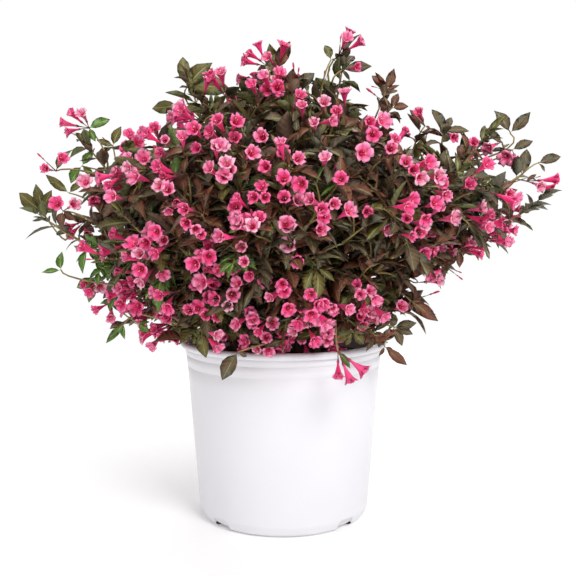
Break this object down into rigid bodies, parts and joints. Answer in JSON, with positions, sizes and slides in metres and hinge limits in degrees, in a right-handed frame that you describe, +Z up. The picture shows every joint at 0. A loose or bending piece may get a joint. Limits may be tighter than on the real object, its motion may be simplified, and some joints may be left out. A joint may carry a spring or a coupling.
{
  "type": "flowering weigela shrub in a nursery pot",
  "caption": "Bushy dark-leaved shrub with arching canes and clusters of trumpet flowers, growing in a round white nursery pot.",
  "frame": {"origin": "centre of the pot's flat underside", "axes": "+Z up, the pictured front faces -Y, +X to the right seen from the front"},
  "size_m": [0.777, 0.6237, 0.6645],
  "materials": {
    "moulded_plastic": "satin white moulded plastic",
    "compost": "rough dark bark compost",
    "bark": "thin brown bark",
    "foliage": "bronze leaves with pink flowers"
  },
  "bodies": {
    "root": {"cane_back_high": "bark", "cane_back_left": "bark", "cane_back_low_left": "bark", "cane_back_low_middle": "bark", "cane_back_low_right": "bark", "cane_back_middle": "bark", "cane_back_right": "bark", "cane_front_high": "bark", "cane_front_left": "bark", "cane_front_low_left": "bark", "cane_front_low_middle": "bark", "cane_front_low_right": "bark", "cane_front_middle": "bark", "cane_front_right": "bark", "cane_left": "bark", "cane_left_high": "bark", "cane_left_low": "bark", "cane_right": "bark", "cane_right_high": "bark", "cane_right_low": "bark", "cane_top": "bark", "cane_top_left": "bark", "cane_top_right": "bark", "foliage_back_high": "foliage", "foliage_back_left": "foliage", "foliage_back_low_left": "foliage", "foliage_back_low_middle": "foliage", "foliage_back_low_right": "foliage", "foliage_back_middle": "foliage", "foliage_back_right": "foliage", "foliage_front_high": "foliage", "foliage_front_left": "foliage", "foliage_front_low_left": "foliage", "foliage_front_low_middle": "foliage", "foliage_front_low_right": "foliage", "foliage_front_middle": "foliage", "foliage_front_right": "foliage", "foliage_left": "foliage", "foliage_left_high": "foliage", "foliage_left_low": "foliage", "foliage_right": "foliage", "foliage_right_high": "foliage", "foliage_right_low": "foliage", "foliage_top": "foliage", "foliage_top_left": "foliage", "foliage_top_right": "foliage", "pot": "moulded_plastic", "soil": "compost"}
  },
  "joints": []
}
